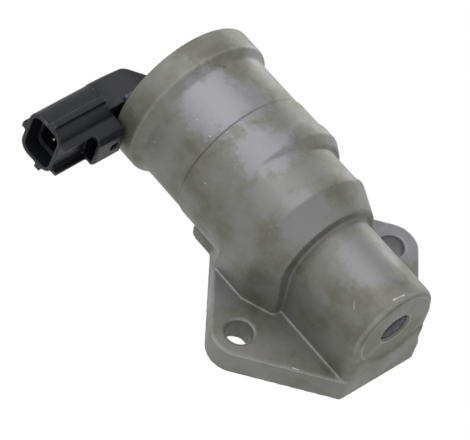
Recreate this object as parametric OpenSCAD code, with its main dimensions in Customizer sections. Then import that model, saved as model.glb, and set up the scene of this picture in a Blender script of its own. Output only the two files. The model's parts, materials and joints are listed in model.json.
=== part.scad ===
// Solenoid idle air control valve with a two-bolt flange.
// Millimetres. The origin is the middle of the flange's mounting face, midway
// between the two bolt holes. +X runs along the valve's axis towards the nose,
// +Y towards one bolt hole, and +Z up from the mounting face.

/* [Flange] */
// Distance between the two bolt holes
bolt_spacing = 62; // [58:1:66]
// Radius of each bolt hole, clear for an M8 bolt
bolt_hole_r = 4.3; // [4.2:0.1:4.6]
// Thickness of the flange plate
flange_t = 9.3; // [8:0.1:11]
// Radius of the rounded ear round each bolt hole
ear_r = 9; // [8.5:0.5:10]
// Half length of the plate along the valve's axis
flange_half_x = 31.9; // [31.6:0.1:33]
// Half width of the plate's short front and rear edges
flange_half_y = 14.8; // [14:0.1:15.5]
// Length of the foot that runs back past the plate, from the origin
foot_rear = 42; // [38:1:46]

/* [Housing] */
// Height of the valve's axis above the mounting face
axis_z = 26.3; // [26.3:0.1:28]
// Outer radius of the rim that holds the rear cover
rim_r = 26.25; // [26.1:0.05:26.3]
// Outer radius of the barrel behind the small step
barrel_r = 24; // [23.6:0.1:24.2]
// Outer radius of the barrel in front of the small step
body_r = 24.4; // [24.4:0.1:24.8]
// Outer radius of the nose
nose_r = 14.9; // [14.5:0.1:15]
// Distance of the rim's rear edge behind the origin
rear_end = 73; // [72.9:0.1:73.2]
// Distance of the nose's end face in front of the origin
nose_end = 31.2; // [31:0.1:31.4]
// Radius of the hole in the nose at its mouth
nose_hole_r = 5.9; // [5.5:0.1:6.2]

/* [Connector] */
// Long side of the connector shell
shell_w = 18.8; // [18.6:0.2:19.6]
// Short side of the connector shell
shell_h = 14.4; // [14.2:0.2:15]
// Distance of the connector's mouth from the valve's axis
mouth_y = 50.8; // [49:0.2:53]
// Distance of the connector's centre line behind the origin
shell_x = 78.6; // [78.5:0.1:78.9]
// Distance between the two terminal blades
blade_pitch = 5.8; // [5.6:0.1:6.2]

/* [Valve] */
// Radius of the valve stem
stem_r = 2.5; // [2.3:0.1:2.6]
// Radial clearance of the stem in its bushes
stem_gap = 0.05; // [0.02:0.01:0.08]
// Radius of the bore through the valve seat
seat_bore_r = 6; // [5:0.1:6.2]
// Radius of each air port
port_r = 6.8; // [6:0.1:7]
// Radius of the plunger
plunger_r = 7.2; // [7:0.1:7.3]

/* [Hidden] */
$fn = 96;
EPS = 0.01;

// Stations along the valve's axis, from the rear edge to the nose
rear_x = -rear_end;
ledge_x = -67.5;
rim_front_x = -63.6;
rim_root_x = -61;
step_x = -42.4;
band_rear_x = -32.6;
band_front_x = -26.9;
neck_rear_x = -23.4;
hump_rear_x = -12.8;
hump_top_x = -10.6;
hump_front_x = 0.8;
chamber_rear_x = -27;
chamber_front_x = -4;
seat_front_x = 3;
guide_rear_x = 17;

// Outside of the casting. The band, the neck and the hump are circles set off
// the axis, so that their steps fade out on the connector's side.
rim_edge = [0.5, 1];
rim_fillet = [0.3, 0.6];
band_shift = 0.6 * [cos(30), sin(30)];
neck_r = body_r - 1.5;
neck_shift = 2.15 * [cos(166), sin(166)];
hump_r = body_r - 1.8;
hump_end_r = 18.45;
hump_round = 2;
hump_fillet = 2.5;
hump_shift = 0.8 * [cos(166), sin(166)];
nose_round = 2.2;
spot_face_r = nose_r - 1.8;

// Walls of the casting below the axis
foot_half_top = nose_r;
foot_half_base = 15.5;
foot_round = 3.6;
foot_split_z = 17.3;
left_wall_top = 24.2;
left_wall_base = 21.7;
right_wall_top = 21.8;
right_wall_base = 19.8;
taper_angle = 24;
taper_half_front = 18.2;
taper_round = 1.6;
edge_break = 0.4;
hole_break = 0.6;

// Way that the plate's slanted edges face so that they just touch the ears,
// and their distance from the origin
slant_reach = [flange_half_x, flange_half_y - bolt_spacing / 2];
flange_lean = atan2(slant_reach.y, slant_reach.x) + acos(ear_r / norm(slant_reach));
flange_slant_d = bolt_spacing / 2 * sin(flange_lean) + ear_r;

// Bores of the casting
pocket_r = 23;
solenoid_bore_r = 20.5;
chamber_r = 14;
seat_ring_r = 9;
front_chamber_r = 8;
guide_r = 5;

// Air ports in the mounting face, and the seals in the grooves round them
front_port_x = 10;
rear_port_x = -20;
groove_wall = 1.9;
groove_w = 2.6;
groove_depth = 2;
seal_w = 2.3;
seal_round = 0.8;

// Solenoid pack
case_r = 20.3;
case_wall = 1.9;
fit_gap = 0.04;
pack_rear_x = -61.9;
plate_t = 3;
plate_rear_x = -30.8;
gasket_t = 0.8;
gasket_in = 14.4;
core_flange_t = 3;
core_flange_r = case_r - case_wall - fit_gap;
core_boss_r = 10.2;
core_boss_x = -55;
core_front_x = -49.4;
shim_t = 0.4;
tube_in = plunger_r + 0.15;
tube_wall = 0.75;
tube_front_x = -28.5;
collar_rear_x = -40;
collar_wall = 2;
bobbin_rear_x = pack_rear_x + core_flange_t + 0.05;
bobbin_front_x = plate_rear_x - 0.05;
bobbin_flange_t = 1.4;
bobbin_flange_r = 18;
bobbin_tube_r = 11.5;
winding_r = 17.2;
bush_wall = 1.65;
return_pocket_r = 5.2;
return_rear_x = -53;
return_front_x = -42;
return_spring_r = 4.2;
return_wire_r = 0.45;

// Terminals. Each runs down the arm, then turns towards the coil.
blade_w = 2.2;
blade_t = 0.8;
blade_tip_y = 44.4;
terminal_turn_y = 14.6;
terminal_front_x = bobbin_rear_x - 0.8;
post_r = 2;
post_hole_r = 2.3;

// Rear cover
cover_flange_r = 22.4;
cover_flange_t = 3;
spigot_r = 20.3;
spigot_wall = 3.6;
spigot_front_x = -62.8;
cover_hollow_x = -68.4;
boss_r = 18.6;
boss_rear_x = -74.8;
o_ring_groove_r = 18.4;
o_ring_groove_w = 2.6;
o_ring_x = -65.2;

// Connector arm and shell
arm_rear_x = -85.6;
arm_front_x = -73.3;
arm_slope_y = [8.7, 16.9];
arm_h = 17.6;
arm_round = 2.6;
shell_root_y = 28.4;
shell_round = 4.5;
lip_wall = 1.4;
land_wall = 2.5;
land_depth = 6;
socket_depth = 15.4;
slot_w = 3.2;
slot_len = 12.8;
slot_depth = 2.6;
web_t = 0.8;
web_gap = 3.2;
rail_w = 2.3;
rail_h = 1.8;
rail_offset = 1.9;
rib_t = 1;
rib_h = 2.3;
rib_z = 6.1;
lock_w = 13.4;
lock_h = 6.1;
lock_wall = 1.5;
lock_chamfer = [1.4, 2.1];
lock_front_y = 37.6;
lock_rear_y = 27;
lock_window = [3.2, 2.4];
sealant_rise = 1.9;
sealant_bead = 1.7;

// Valve
seat_bevel = 1.2;
seat_gap = 0.07;
plug_r = 8;
plug_hub_r = 4;
plug_rear_x = -13;
plug_disc_x = -6.6;
plug_front_x = -2.4;
stem_rear_x = -60.6;
stem_front_x = 24.1;
clip_r = 4;
clip_t = 0.8;
clip_groove = 0.4;
bush_front_x = 20.2;
cap_r = 4.6;
cap_front_x = 24.9;
screw_rear_x = 27.8;
screw_front_x = 29.8;
screw_slot_w = 1.2;
screw_slot_depth = 1;
sink_x = 30.2;
adjusting_spring_r = 3.5;
adjusting_wire_r = 0.25;

// Points on an arc in a profile
function arc(centre, r, from, to, n) =
    [for (i = [0:n]) let (a = from + (to - from) * i / n) centre + r * [cos(a), sin(a)]];

// Puts a shape that is turned about its own Z on the valve's axis
module on_axis(shift = [0, 0]) {
    translate([0, shift.x, axis_z + shift.y]) rotate([0, 90, 0]) children();
}

// A solid turned about the valve's axis from [radius, station] points
module turned(points, shift = [0, 0]) {
    on_axis(shift) rotate_extrude() polygon(points);
}

// A ring, or a disc where r_in is 0, between two stations
module ring(r_out, r_in, x0, x1, shift = [0, 0]) {
    turned([[r_in, x0], [r_out, x0], [r_out, x1], [r_in, x1]], shift);
}

// A hole along the valve's axis between two stations
module bore(r, x0, x1) {
    on_axis() translate([0, 0, x0]) cylinder(r = r, h = x1 - x0);
}

// A rectangle with round corners, centred
module rounded_rect(w, h, r) {
    square([w - 2 * r, h], center = true);
    square([w, h - 2 * r], center = true);
    for (sx = [-1, 1], sy = [-1, 1])
        translate([sx * (w / 2 - r), sy * (h / 2 - r)]) circle(r = r);
}

// Extrudes a shape drawn in X and Z about the connector's centre line,
// between two distances from the valve's axis
module towards_mouth(y0, y1) {
    translate([-shell_x, -y0, axis_z]) rotate([90, 0, 0]) linear_extrude(y1 - y0) children();
}

// Extrudes a shape drawn in Y and Z along the valve's axis
module along_axis(x0, x1) {
    translate([x0, 0, 0]) rotate([90, 0, 90]) linear_extrude(x1 - x0) children();
}

// A coil spring on the valve's axis, with one closed turn at each end
module coil_spring(r, wire_r, x0, x1, turns) {
    sides = 8;
    steps = 18;
    rings = turns * steps;
    closed_pitch = 2.1 * wire_r;
    open_pitch = (x1 - x0 - 2 * wire_r - 2 * closed_pitch) / (turns - 2);
    function rise(turn) = closed_pitch * (min(turn, 1) + max(turn - turns + 1, 0))
        + open_pitch * min(max(turn - 1, 0), turns - 2);
    points = [
        for (i = [0:rings], j = [0:sides - 1])
            let (a = 360 * i / steps, b = 360 * j / sides, q = r + wire_r * cos(b))
            [q * cos(a), q * sin(a), x0 + wire_r + rise(i / steps) + wire_r * sin(b)]
    ];
    walls = [
        for (i = [0:rings - 1], j = [0:sides - 1])
            let (k = (j + 1) % sides)
            [i * sides + j, i * sides + k, (i + 1) * sides + k, (i + 1) * sides + j]
    ];
    start = [for (j = [0:sides - 1]) sides - 1 - j];
    end = [for (j = [0:sides - 1]) rings * sides + j];
    on_axis() polyhedron(points, concat(walls, [start, end]), convexity = 10);
}

// A bar across the plate whose upper edges are broken
module edge_bar(angle, half_w) {
    low = flange_t - edge_break;
    top_w = half_w - edge_break;
    rotate([0, 0, angle]) rotate([90, 0, 0]) linear_extrude(2 * bolt_spacing, center = true) polygon([
        [-half_w, 0], [half_w, 0], [half_w, low], [top_w, flange_t], [-top_w, flange_t], [-half_w, low]
    ]);
}

// The plate: three pairs of straight edges that run into two round ears
module flange_plate() {
    half = bolt_spacing / 2;
    ear_y = half + ear_r * sin(flange_lean);
    edge = edge_break;
    intersection() {
        edge_bar(0, flange_half_x);
        edge_bar(flange_lean, flange_slant_d);
        edge_bar(-flange_lean, flange_slant_d);
        cube([3 * flange_half_x, 2 * ear_y, 3 * flange_t], center = true);
    }
    for (s = [-1, 1]) translate([0, s * half]) {
        cylinder(r = ear_r, h = flange_t - edge);
        translate([0, 0, flange_t - edge]) cylinder(r1 = ear_r, r2 = ear_r - edge, h = edge);
    }
}

// Plan of the foot, with round corners
module foot_plan(front_x, front_round) {
    front = [front_x - front_round, foot_half_base - front_round];
    rear = [foot_round - foot_rear, foot_half_base - foot_round];
    polygon(concat(
        arc(front, front_round, 90, 0, 8),
        arc([front.x, -front.y], front_round, 0, -90, 8),
        arc([rear.x, -rear.y], foot_round, 270, 180, 8),
        arc(rear, foot_round, 180, 90, 8)
    ));
}

// The foot under the barrel and the nose, with walls that lean in a little
module foot() {
    intersection() {
        along_axis(-foot_rear - 1, flange_half_x + 1) polygon([
            [-foot_half_base, 0], [foot_half_base, 0],
            [foot_half_top, axis_z], [-foot_half_top, axis_z]
        ]);
        union() {
            linear_extrude(foot_split_z) foot_plan(flange_half_x, 3);
            linear_extrude(axis_z) foot_plan(nose_end, nose_round);
        }
    }
}

// The wide block under the hump. Its front corners taper like the hump, and
// its rear follows the plate's slanted edges.
module body_block() {
    reach = bolt_spacing / 2;
    front_y = taper_half_front - taper_round * tan(45 - taper_angle / 2);
    corner = arc([hump_front_x - taper_round, front_y], taper_round, 90 - taper_angle, 0, 6);
    side = concat([[corner[0].x - (reach - corner[0].y) / tan(taper_angle), reach]], corner);
    other_side = [for (i = [len(side) - 1:-1:0]) [side[i].x, -side[i].y]];
    intersection() {
        along_axis(-flange_half_x, hump_front_x + 1) polygon([
            [-left_wall_base, 0], [right_wall_base, 0],
            [right_wall_top, axis_z], [-left_wall_top, axis_z]
        ]);
        linear_extrude(axis_z) polygon(concat(
            [[-flange_half_x, reach]], side, other_side, [[-flange_half_x, -reach]]
        ));
        before_slant(-1);
        before_slant(1);
    }
}

// All that lies in front of one of the plate's slanted rear edges
module before_slant(side) {
    rotate([0, 0, side * flange_lean]) translate([-flange_slant_d, -2 * bolt_spacing, 0])
        cube([4 * bolt_spacing, 4 * bolt_spacing, axis_z]);
}

// The round outside of the casting: rim, barrel, band, neck, hump and nose
module round_outside() {
    turned(
        [
            [0, rear_x], [rim_r - 0.4, rear_x], [rim_r, rear_x + 0.4],
            [rim_r, rim_front_x - rim_edge.y], [rim_r - 0.15, rim_front_x - rim_edge.y / 2],
            [rim_r - rim_edge.x, rim_front_x],
            [barrel_r + rim_fillet.x, rim_root_x - rim_fillet.y], [barrel_r, rim_root_x],
            [barrel_r, step_x - 0.6], [body_r, step_x + 0.6],
            [body_r, band_front_x], [neck_r - 0.7, neck_rear_x], [0, neck_rear_x]
        ]
    );
    turned([
        [0, band_rear_x], [body_r - 0.5, band_rear_x], [body_r - 0.1, band_rear_x + 0.9],
        [body_r, band_rear_x + 2], [body_r, band_front_x],
        [neck_r - 0.4, neck_rear_x], [0, neck_rear_x]
    ], band_shift);
    intersection() {
        ring(body_r, 0, band_front_x, hump_front_x + 5);
        union() {
            ring(neck_r, 0, band_front_x, hump_rear_x + 1.5, neck_shift);
            hump();
        }
    }
    turned(concat(
        [[0, hump_rear_x], [nose_r + 1, hump_rear_x]],
        arc([nose_r + hump_fillet, hump_front_x + 3.3], hump_fillet, 225, 180, 5),
        arc([nose_r - nose_round, nose_end - nose_round], nose_round, 0, 90, 8),
        [[0, nose_end]]
    ));
}

// The hump: a low round shoulder, a cone, and a bevel down to the nose
module hump() {
    front = arc([hump_end_r - hump_round, hump_front_x - 1.75], hump_round, taper_angle, 45, 3);
    drop = front[3].x - nose_r + 1;
    turned(concat(
        [[0, hump_rear_x], [hump_r - 1, hump_rear_x], [hump_r - 0.5, hump_rear_x + 0.9]],
        arc([hump_r - hump_round, hump_top_x], hump_round, 10, taper_angle - 2, 3),
        front,
        [front[3] + [-drop, drop], [0, front[3].y + drop]]
    ), hump_shift);
}

// Everything that is cut out of the casting along the valve's axis
module axial_bores() {
    bore(pocket_r, rear_x - 1, ledge_x);
    bore(solenoid_bore_r, ledge_x - 1, chamber_rear_x);
    bore(chamber_r, chamber_rear_x - 1, chamber_front_x);
    bore(seat_ring_r, chamber_front_x - 1, seat_front_x);
    bore(front_chamber_r, seat_front_x - 1, guide_rear_x);
    bore(guide_r, guide_rear_x - 1, nose_end + 1);
    on_axis() translate([0, 0, sink_x])
        cylinder(r1 = guide_r, r2 = nose_hole_r, h = nose_end - sink_x + EPS);
    bore(spot_face_r, nose_end, nose_end + 2);
}

// One air port with the groove for its seal
module port(x) {
    groove_in = port_r + groove_wall;
    translate([x, 0, -1]) cylinder(r = port_r, h = axis_z + 1);
    translate([x, 0, -1]) difference() {
        cylinder(r = groove_in + groove_w, h = groove_depth + 1);
        translate([0, 0, -1]) cylinder(r = groove_in, h = groove_depth + 3);
    }
}

// The cast aluminium housing, one piece from the rim to the nose
module housing() {
    color("#7d7c76") difference() {
        union() {
            round_outside();
            body_block();
            foot();
            flange_plate();
        }
        axial_bores();
        port(front_port_x);
        port(rear_port_x);
        for (s = [-1, 1]) translate([0, s * bolt_spacing / 2, 0]) {
            translate([0, 0, -1]) cylinder(r = bolt_hole_r, h = flange_t + 2);
            translate([0, 0, flange_t - hole_break])
                cylinder(r1 = bolt_hole_r, r2 = bolt_hole_r + hole_break + EPS, h = hole_break + EPS);
        }
    }
}

// A face seal, pressed flush with the mounting face
module port_seal(x) {
    color("#20211f") translate([x, 0, 0]) rotate_extrude()
        translate([port_r + groove_wall + groove_w / 2, groove_depth / 2])
            rounded_rect(seal_w, groove_depth, seal_round);
}

// The steel tube round the coil
module solenoid_case() {
    color("#9a9b98") ring(case_r, case_r - case_wall, pack_rear_x, plate_rear_x);
}

// The fixed core, with its end flange, its bush bore and holes for the coil's posts
module rear_core() {
    color("#8d8f90") difference() {
        turned([
            [0, pack_rear_x], [core_flange_r, pack_rear_x],
            [core_flange_r, pack_rear_x + core_flange_t],
            [core_boss_r, pack_rear_x + core_flange_t], [core_boss_r, core_boss_x],
            [plunger_r, core_boss_x], [plunger_r, core_front_x], [0, core_front_x]
        ]);
        bore(stem_r + stem_gap + bush_wall, pack_rear_x - 1, return_rear_x + EPS);
        bore(return_pocket_r, return_rear_x, core_front_x + 1);
        coil_posts(post_hole_r, pack_rear_x - 1, pack_rear_x + core_flange_t + 1);
    }
}

// The two posts that carry the terminals' ends
module coil_posts(r, x0, x1) {
    for (s = [-1, 1]) translate([x0, -terminal_turn_y, axis_z + s * blade_pitch / 2])
        rotate([0, 90, 0]) cylinder(r = r, h = x1 - x0);
}

// The steel plate and collar that close the magnetic path at the front
module front_pole_plate() {
    collar_in = tube_in + tube_wall + fit_gap;
    color("#8d8f90") turned([
        [collar_in, collar_rear_x], [collar_in + collar_wall - 0.8, collar_rear_x],
        [collar_in + collar_wall, collar_rear_x + 1.6],
        [collar_in + collar_wall, plate_rear_x], [case_r, plate_rear_x],
        [case_r, plate_rear_x + plate_t], [collar_in, plate_rear_x + plate_t]
    ]);
}

// The flat gasket between the pole plate and the casting's shoulder
module pole_gasket() {
    color("#3c3a34") ring(case_r, gasket_in, chamber_rear_x - gasket_t, chamber_rear_x);
}

// The moulded bobbin, with two posts that reach through the core's flange
module coil_bobbin() {
    wide_in = core_boss_r + 0.1;
    mid_in = tube_in + tube_wall + 0.1;
    color("#d9d4c4") difference() {
        union() {
            turned([
                [wide_in, bobbin_rear_x], [bobbin_flange_r, bobbin_rear_x],
                [bobbin_flange_r, bobbin_rear_x + bobbin_flange_t],
                [bobbin_tube_r, bobbin_rear_x + bobbin_flange_t],
                [bobbin_tube_r, bobbin_front_x - bobbin_flange_t],
                [bobbin_flange_r, bobbin_front_x - bobbin_flange_t],
                [bobbin_flange_r, bobbin_front_x], [wide_in, bobbin_front_x],
                [wide_in, collar_rear_x - 0.1], [mid_in, collar_rear_x - 0.1],
                [mid_in, core_boss_x + 0.1], [wide_in, core_boss_x + 0.1]
            ]);
            coil_posts(post_r, pack_rear_x - 0.4, bobbin_rear_x + 0.5);
        }
        terminals();
    }
}

// The copper winding between the bobbin's flanges
module coil_winding() {
    x0 = bobbin_rear_x + bobbin_flange_t + 0.02;
    x1 = bobbin_front_x - bobbin_flange_t - 0.02;
    color("#a85c32") turned([
        [bobbin_tube_r + 0.02, x0], [winding_r - 0.3, x0], [winding_r, x0 + 0.6],
        [winding_r, x1 - 0.6], [winding_r - 0.3, x1], [bobbin_tube_r + 0.02, x1]
    ]);
}

// The brass tube that the plunger runs in
module plunger_tube() {
    color("#b8933f") ring(tube_in + tube_wall, tube_in, core_boss_x + 0.1, tube_front_x);
}

// A sleeve bearing for the stem
module bush(x0, x1, r_out) {
    color("#a8793a") ring(r_out, stem_r + stem_gap, x0, x1);
}

module rear_bush() {
    bush(pack_rear_x + 0.2, return_rear_x, stem_r + stem_gap + bush_wall);
}

module front_bush() {
    bush(guide_rear_x + 0.2, bush_front_x, guide_r);
}

// The brass washer that keeps the plunger from sticking to the core
module stop_shim() {
    color("#b8933f") ring(plunger_r, return_pocket_r, core_front_x, core_front_x + shim_t);
}

// The dished washer that holds the pack against the casting's shoulder
module spring_washer() {
    seat_r = [case_r - 3.2, case_r - 0.4];
    t = 0.36;
    color("#84868a") turned([
        [seat_r[0], pack_rear_x - EPS - t], [seat_r[1], spigot_front_x + EPS],
        [seat_r[1], spigot_front_x + EPS + t], [seat_r[0], pack_rear_x - EPS]
    ]);
}

// The arm between the rear cover and the connector shell
module connector_arm(grow = 0) {
    w = arm_front_x - arm_rear_x + 3 * arm_round;
    intersection() {
        linear_extrude(2 * axis_z) polygon([
            [boss_rear_x + 1, -arm_slope_y[0]], [boss_rear_x, -arm_slope_y[0]],
            [arm_rear_x - grow, -arm_slope_y[1]], [arm_rear_x - grow, -shell_root_y - EPS],
            [arm_front_x, -shell_root_y - EPS], [arm_front_x, -arm_slope_y[0]]
        ]);
        towards_mouth(0, shell_root_y + EPS) translate([arm_rear_x + shell_x + w / 2, 0])
            rounded_rect(w + 2 * grow, arm_h + 2 * grow, arm_round);
    }
}

// The shell's inside: a lip, a tighter land and the slot round the blades
module socket() {
    floor_y = mouth_y - socket_depth;
    towards_mouth(mouth_y - land_depth, mouth_y + 1)
        rounded_rect(shell_h - 2 * lip_wall, shell_w - 2 * lip_wall, shell_round - lip_wall);
    towards_mouth(floor_y, mouth_y)
        rounded_rect(shell_h - 2 * land_wall, shell_w - 2 * land_wall, shell_round - land_wall);
    towards_mouth(floor_y - slot_depth, floor_y + EPS) difference() {
        square([slot_w, slot_len], center = true);
        for (z = [-blade_pitch, 0, blade_pitch])
            translate([0, z * 1.08]) square([web_t, blade_pitch - web_gap], center = true);
    }
}

// Guide rails on three sides of the shell
module rails() {
    towards_mouth(shell_root_y, mouth_y) {
        for (s = [-1, 1]) translate([rail_offset, s * (shell_w / 2 + rail_h / 2 - 0.5)])
            square([rail_w, rail_h + 1], center = true);
        translate([-shell_h / 2 - rail_h / 2 + 0.5, 0]) square([rail_h + 1, rail_w], center = true);
    }
}

// The hollow box for the lock, with its window, and the two ribs before it
module lock_box() {
    face = shell_h / 2;
    towards_mouth(lock_rear_y, lock_front_y) difference() {
        polygon([
            [face - 2, -lock_w / 2], [face + lock_h - lock_chamfer[0], -lock_w / 2],
            [face + lock_h, lock_chamfer[1] - lock_w / 2],
            [face + lock_h, lock_w / 2 - lock_chamfer[1]],
            [face + lock_h - lock_chamfer[0], lock_w / 2], [face - 2, lock_w / 2]
        ]);
        translate([face + 0.3, lock_wall - lock_w / 2])
            square([lock_h - lock_wall - 0.3, lock_w - 2 * lock_wall]);
    }
    towards_mouth(lock_rear_y, lock_rear_y + 1.6)
        translate([face, -lock_w / 2 + 1]) square([lock_h - 1, lock_w - 2]);
    towards_mouth(lock_front_y - EPS, mouth_y)
        for (s = [-1, 1]) translate([face + rib_h / 2 - 1.5, s * rib_z])
            square([rib_h + 3, rib_t], center = true);
}

// The rear cover and the connector, moulded as one
module connector_cover() {
    color("#2e2f33") difference() {
        union() {
            turned([
                [0, boss_rear_x], [boss_r - 1, boss_rear_x], [boss_r, boss_rear_x + 1],
                [boss_r, ledge_x - cover_flange_t], [cover_flange_r, ledge_x - cover_flange_t],
                [cover_flange_r, ledge_x], [spigot_r, ledge_x],
                [spigot_r, spigot_front_x], [0, spigot_front_x]
            ]);
            connector_arm();
            towards_mouth(shell_root_y, mouth_y) rounded_rect(shell_h, shell_w, shell_round);
            rails();
            lock_box();
        }
        bore(spigot_r - spigot_wall, cover_hollow_x, spigot_front_x + 1);
        ring(spigot_r + 1, o_ring_groove_r, o_ring_x - o_ring_groove_w / 2, o_ring_x + o_ring_groove_w / 2);
        socket();
        translate([-shell_x + shell_h / 2 + lock_h, -lock_rear_y - lock_window.x, axis_z])
            cube([lock_h, lock_window.x, lock_window.y], center = true);
        terminals();
    }
}

// The seal between the cover's spigot and the casting
module cover_o_ring() {
    wire_r = (solenoid_bore_r - o_ring_groove_r) / 2 - EPS;
    color("#20211f") on_axis() translate([0, 0, o_ring_x]) rotate_extrude()
        translate([(solenoid_bore_r + o_ring_groove_r) / 2, 0]) circle(r = wire_r);
}

// Sealant poured round the cover, heaped up where the arm leaves the rim
module cover_sealant() {
    top_x = rear_x - sealant_rise;
    color("#1c2240") difference() {
        union() {
            ring(pocket_r, boss_r, rear_x + 0.3, ledge_x - cover_flange_t);
            turned([
                [boss_r, rear_x + 0.35], [pocket_r - 0.5, rear_x + 0.35],
                [boss_r + 1.2, rear_x - 0.5], [boss_r, rear_x - 1.1]
            ]);
            intersection() {
                translate([top_x, -rim_r + 1, axis_z - arm_h / 2 - sealant_bead])
                    cube([sealant_rise, rim_r - arm_slope_y[0] - 3, arm_h + 2 * sealant_bead]);
                ring(rim_r - 0.6, boss_r, top_x, rear_x);
            }
        }
        connector_arm();
    }
}

// One flat terminal: a blade with a pointed tip, and a leg towards the coil
module terminal(side) {
    z = axis_z + side * blade_pitch / 2;
    tip = 1.4;
    turn = terminal_turn_y - blade_t / 2;
    color("#c9b98a") {
        translate([-shell_x - blade_t / 2, 0, 0]) rotate([90, 0, 90]) linear_extrude(blade_t) polygon([
            [-turn, z - blade_w / 2], [-turn, z + blade_w / 2],
            [tip - blade_tip_y, z + blade_w / 2], [-blade_tip_y, z + blade_w / 5],
            [-blade_tip_y, z - blade_w / 5], [tip - blade_tip_y, z - blade_w / 2]
        ]);
        translate([-shell_x - blade_t / 2, -turn - blade_t, z - blade_w / 2])
            cube([terminal_front_x + shell_x + blade_t / 2, blade_t, blade_w]);
    }
}

module terminals() {
    terminal(1);
    terminal(-1);
}

module upper_terminal() {
    terminal(1);
}

module lower_terminal() {
    terminal(-1);
}

// The pressed-in seat, bevelled where the plug closes on it
module valve_seat() {
    color("#b59a5a") turned([
        [seat_bore_r + seat_bevel, chamber_front_x], [seat_ring_r, chamber_front_x],
        [seat_ring_r, seat_front_x], [seat_bore_r + 0.5, seat_front_x],
        [seat_bore_r, seat_front_x - 0.5], [seat_bore_r, chamber_front_x + seat_bevel]
    ]);
}

// The stem that carries the plunger and the plug, with a groove for the clip
module valve_stem() {
    color("#b7babd") turned([
        [0, stem_rear_x], [stem_r - 0.4, stem_rear_x], [stem_r, stem_rear_x + 0.4],
        [stem_r, plug_front_x], [stem_r - clip_groove, plug_front_x],
        [stem_r - clip_groove, plug_front_x + clip_t], [stem_r, plug_front_x + clip_t],
        [stem_r, stem_front_x], [0, stem_front_x]
    ]);
}

// The moving iron, with a pocket for the return spring and two air bleeds
module plunger() {
    color("#7f8285") difference() {
        turned([
            [stem_r, plunger_rear_x()], [plunger_r - 0.4, plunger_rear_x()],
            [plunger_r, plunger_rear_x() + 0.4], [plunger_r, tube_front_x - 1.1],
            [plunger_r - 0.4, tube_front_x - 0.7], [stem_r, tube_front_x - 0.7]
        ]);
        bore(return_pocket_r, plunger_rear_x() - 1, return_front_x);
        for (s = [-1, 1]) on_axis([s * 4.6, 0]) translate([0, 0, return_front_x - 1])
            cylinder(r = 0.8, h = tube_front_x - return_front_x + 2);
    }
}
function plunger_rear_x() = core_front_x + 4;

// The plug, its cone parallel to the seat's bevel
module valve_plug() {
    reach = seat_bore_r + seat_bevel + chamber_front_x - seat_gap;
    color("#c2b280") turned([
        [stem_r, plug_rear_x], [plug_hub_r, plug_rear_x], [plug_hub_r, plug_disc_x - 1.6],
        [plug_r, plug_disc_x], [plug_r, reach - plug_r],
        [reach - plug_front_x, plug_front_x], [stem_r, plug_front_x]
    ]);
}

// The open clip that holds the plug on the stem
module stem_clip() {
    color("#6e7073") difference() {
        ring(clip_r, stem_r - clip_groove, plug_front_x, plug_front_x + clip_t);
        translate([plug_front_x - 1, -stem_r * 0.7, axis_z - clip_r - 1])
            cube([clip_t + 2, stem_r * 1.4, clip_r]);
    }
}

// The cap between the stem's tip and the adjusting spring
module spring_cap() {
    color("#c2b280") turned([
        [0, stem_front_x], [stem_r, stem_front_x], [stem_r, stem_front_x - 0.3],
        [stem_r + 0.9, stem_front_x - 0.3], [stem_r + 0.9, stem_front_x + 0.1],
        [cap_r, stem_front_x + 0.1], [cap_r, cap_front_x], [0, cap_front_x]
    ]);
}

module return_spring() {
    color("#a9acaf") coil_spring(return_spring_r, return_wire_r, return_rear_x, return_front_x, 6);
}

module adjusting_spring() {
    color("#a9acaf") coil_spring(adjusting_spring_r, adjusting_wire_r, cap_front_x, screw_rear_x, 4);
}

// The slotted screw that sets the spring's load
module adjusting_screw() {
    color("#c4a24a") difference() {
        turned([
            [0, screw_rear_x], [guide_r - 0.4, screw_rear_x], [guide_r - 0.02, screw_rear_x + 0.4],
            [guide_r - 0.02, screw_front_x - 0.3], [guide_r - 0.3, screw_front_x], [0, screw_front_x]
        ]);
        translate([screw_front_x - screw_slot_depth, -guide_r - 1, axis_z - screw_slot_w / 2])
            cube([screw_slot_depth + 1, 2 * guide_r + 2, screw_slot_w]);
    }
}

// The drop of sealant over the screw
module nose_sealant() {
    color("#252a35") turned([
        [0, screw_front_x], [guide_r - 0.3, screw_front_x], [guide_r, screw_front_x + 0.1],
        [guide_r, sink_x], [guide_r - 0.8, sink_x + 0.3], [guide_r - 2, sink_x + 0.5],
        [guide_r - 3.6, sink_x + 0.58], [0, sink_x + 0.6]
    ]);
}

housing();
port_seal(front_port_x);  // front_port_seal
port_seal(rear_port_x);  // rear_port_seal
solenoid_case();
rear_core();
front_pole_plate();
pole_gasket();
coil_bobbin();
coil_winding();
plunger_tube();
rear_bush();
front_bush();
stop_shim();
spring_washer();
connector_cover();
cover_o_ring();
cover_sealant();
upper_terminal();
lower_terminal();
valve_seat();
adjusting_screw();
nose_sealant();
adjusting_spring();
return_spring();
valve_stem();
plunger();
valve_plug();
stem_clip();
spring_cap();
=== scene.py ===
"""Looks of a solenoid idle air control valve: its finishes, soft forms, camera and light."""

import json
import logging
import math
from dataclasses import dataclass, field
from enum import Enum
from typing import Any, Callable, ClassVar, Optional, Sequence, Union

import bpy
import numpy as np
from mathutils import Matrix, Vector


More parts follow.
